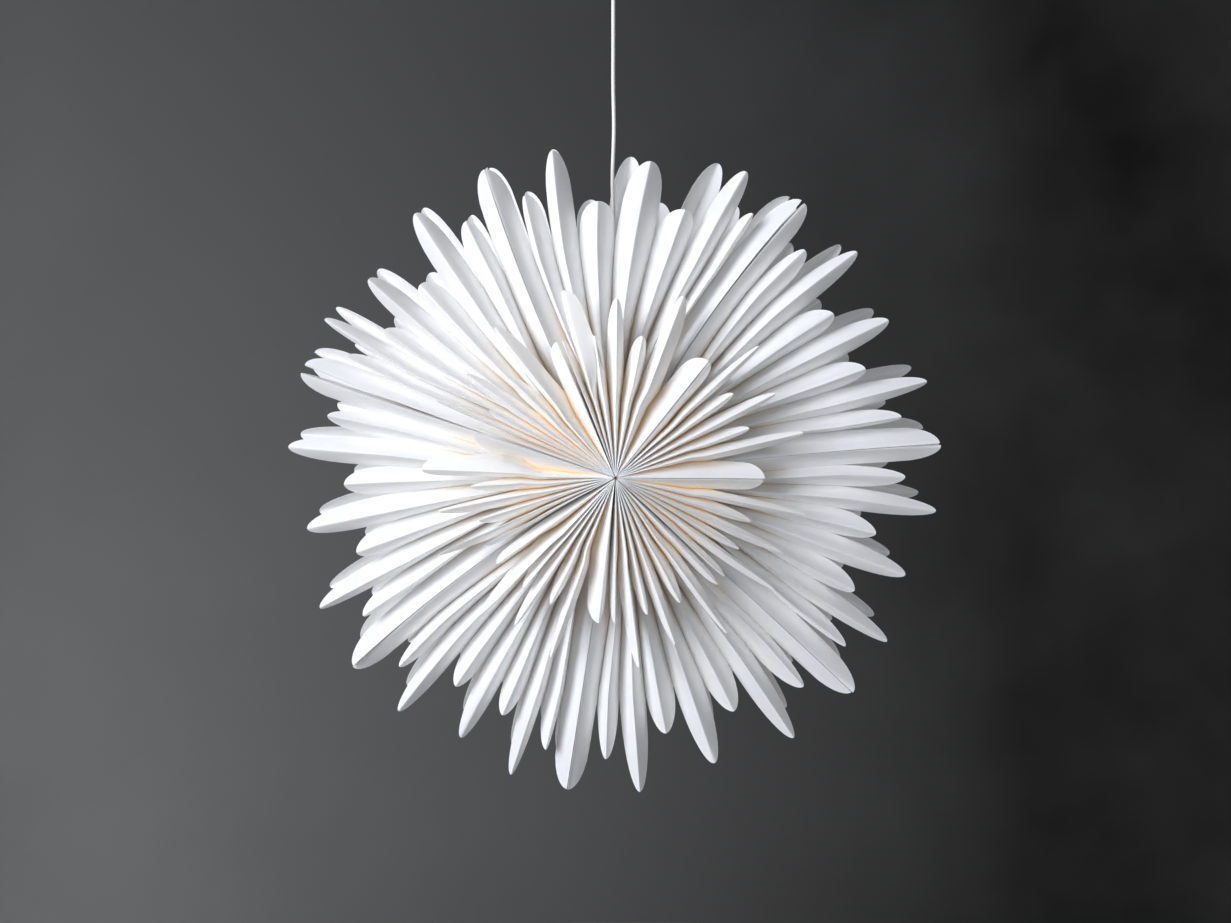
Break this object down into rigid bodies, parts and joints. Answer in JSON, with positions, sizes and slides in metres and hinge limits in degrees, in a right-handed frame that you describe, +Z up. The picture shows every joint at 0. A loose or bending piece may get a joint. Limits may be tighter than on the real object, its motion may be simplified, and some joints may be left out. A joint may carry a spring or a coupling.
{
  "type": "paper star pendant lantern",
  "caption": "Round starburst pendant lantern of fan-folded white paper with petal-cut pleats on both faces, hung by a lamp flex from a ceiling canopy.",
  "frame": {"origin": "centre of the ceiling plate's top face, where it meets the ceiling", "axes": "+Z up, the front face of the lantern towards -Y, the core tube along Y"},
  "size_m": [0.7776, 0.24, 1.0881],
  "materials": {
    "pleated_paper": "matt uncoated white paper",
    "faces_paper": "matt uncoated white paper, two layers",
    "seam_tape": "double-sided tape, beige",
    "card": "wound kraft card",
    "band_thread": "wound cotton thread",
    "steel_wire": "zinc-plated",
    "steel_plate": "zinc-plated sheet",
    "lamp_plastic": "white thermoplastic",
    "soft_sleeve": "soft white sleeve",
    "bulb_diffuser": "opal, satin",
    "bulb_plastic": "white moulded",
    "nickel": "nickel-plated",
    "brass": "brass",
    "flex_sheath": "white flexible sheath",
    "core_insulation": "brown core insulation",
    "canopy_plastic": "white moulded",
    "block_plastic": "white moulded"
  },
  "bodies": {
    "ceiling": {"ceiling_plate": "steel_plate", "cord_anchor": "lamp_plastic", "terminal_block": "block_plastic", "terminal_screws": "brass", "flex_cord": "flex_sheath"},
    "canopy": {"canopy_cup": "canopy_plastic", "canopy_bush": "canopy_plastic", "canopy_grub_screw": "steel_wire"},
    "lantern": {"section_6_front_outer": "pleated_paper", "section_6_front_inner": "pleated_paper", "section_6_back_outer": "pleated_paper", "section_6_back_inner": "pleated_paper", "section_6_faces": "faces_paper", "core_tube": "card", "spine_bands": "band_thread", "yoke_wire": "steel_wire", "yoke_plate": "steel_wire", "lampholder_body": "lamp_plastic", "lampholder_cap": "lamp_plastic", "lampholder_terminals": "brass", "centre_contact": "brass", "cord_gland": "lamp_plastic", "strain_relief": "soft_sleeve", "flex_cores": "core_insulation"},
    "ring": {"shade_ring": "lamp_plastic"},
    "bulb": {"bulb_globe": "bulb_diffuser", "bulb_housing": "bulb_plastic", "bulb_base": "nickel"},
    "section_1": {"section_1_front_outer": "pleated_paper", "section_1_front_inner": "pleated_paper", "section_1_back_outer": "pleated_paper", "section_1_back_inner": "pleated_paper", "section_1_faces": "faces_paper", "seam_tabs": "faces_paper"},
    "section_2": {"section_2_front_outer": "pleated_paper", "section_2_front_inner": "pleated_paper", "section_2_back_outer": "pleated_paper", "section_2_back_inner": "pleated_paper", "section_2_faces": "faces_paper"},
    "section_3": {"section_3_front_outer": "pleated_paper", "section_3_front_inner": "pleated_paper", "section_3_back_outer": "pleated_paper", "section_3_back_inner": "pleated_paper", "section_3_faces": "faces_paper"},
    "section_4": {"section_4_front_outer": "pleated_paper", "section_4_front_inner": "pleated_paper", "section_4_back_outer": "pleated_paper", "section_4_back_inner": "pleated_paper", "section_4_faces": "faces_paper"},
    "section_5": {"section_5_front_outer": "pleated_paper", "section_5_front_inner": "pleated_paper", "section_5_back_outer": "pleated_paper", "section_5_back_inner": "pleated_paper", "section_5_faces": "faces_paper"},
    "section_7": {"section_7_front_outer": "pleated_paper", "section_7_front_inner": "pleated_paper", "section_7_back_outer": "pleated_paper", "section_7_back_inner": "pleated_paper", "section_7_faces": "faces_paper", "seam_tapes": "seam_tape"}
  },
  "joints": [
    {"name": "canopy_slide", "type": "slide", "parent": "ceiling", "child": "canopy", "axis": [0, 0, -1], "range_m": [0, 0.12]},
    {"name": "lantern_turn", "type": "hinge", "parent": "ceiling", "child": "lantern", "pos_m": [0, 0, -0.7], "axis": [0, 0, 1], "range_deg": [-180, 180]},
    {"name": "ring_turn", "type": "hinge", "parent": "lantern", "child": "ring", "pos_m": [0, 0, -0.58], "axis": [0, 0, 1], "continuous": true},
    {"name": "bulb_pull", "type": "slide", "parent": "lantern", "child": "bulb", "axis": [0, 0, -1], "range_m": [0, 0.025]},
    {"name": "fan_fold", "type": "hinge", "parent": "lantern", "child": "section_1", "pos_m": [0, 0, -0.7], "axis": [0, -1, 0], "range_deg": [0, 208.75], "deforming": ["section_1_front_outer", "section_1_front_inner", "section_1_back_outer", "section_1_back_inner", "section_1_faces"]},
    {"name": "section_2_fold", "type": "hinge", "parent": "lantern", "child": "section_2", "pos_m": [0, 0, -0.7], "axis": [0, -1, 0], "range_deg": [0, 163.3], "deforming": ["section_2_front_outer", "section_2_front_inner", "section_2_back_outer", "section_2_back_inner", "section_2_faces"]},
    {"name": "section_3_fold", "type": "hinge", "parent": "lantern", "child": "section_3", "pos_m": [0, 0, -0.7], "axis": [0, -1, 0], "range_deg": [0, 117.05], "deforming": ["section_3_front_outer", "section_3_front_inner", "section_3_back_outer", "section_3_back_inner", "section_3_faces"]},
    {"name": "section_4_fold", "type": "hinge", "parent": "lantern", "child": "section_4", "pos_m": [0, 0, -0.7], "axis": [0, -1, 0], "range_deg": [0, 69.3], "deforming": ["section_4_front_outer", "section_4_front_inner", "section_4_back_outer", "section_4_back_inner", "section_4_faces"]},
    {"name": "section_5_fold", "type": "hinge", "parent": "lantern", "child": "section_5", "pos_m": [0, 0, -0.7], "axis": [0, -1, 0], "range_deg": [0, 23.8], "deforming": ["section_5_front_outer", "section_5_front_inner", "section_5_back_outer", "section_5_back_inner", "section_5_faces"]},
    {"name": "section_7_fold", "type": "hinge", "parent": "lantern", "child": "section_7", "pos_m": [0, 0, -0.7], "axis": [0, -1, 0], "range_deg": [-23.05, 0], "deforming": ["section_7_front_outer", "section_7_front_inner", "section_7_back_outer", "section_7_back_inner", "section_7_faces"]}
  ],
  "couplings": [
    {"joint": "section_2_fold", "follows": "fan_fold", "ratio": 0.78084},
    {"joint": "section_3_fold", "follows": "fan_fold", "ratio": 0.55928},
    {"joint": "section_4_fold", "follows": "fan_fold", "ratio": 0.33054},
    {"joint": "section_5_fold", "follows": "fan_fold", "ratio": 0.11257},
    {"joint": "section_7_fold", "follows": "fan_fold", "ratio": -0.10898}
  ]
}
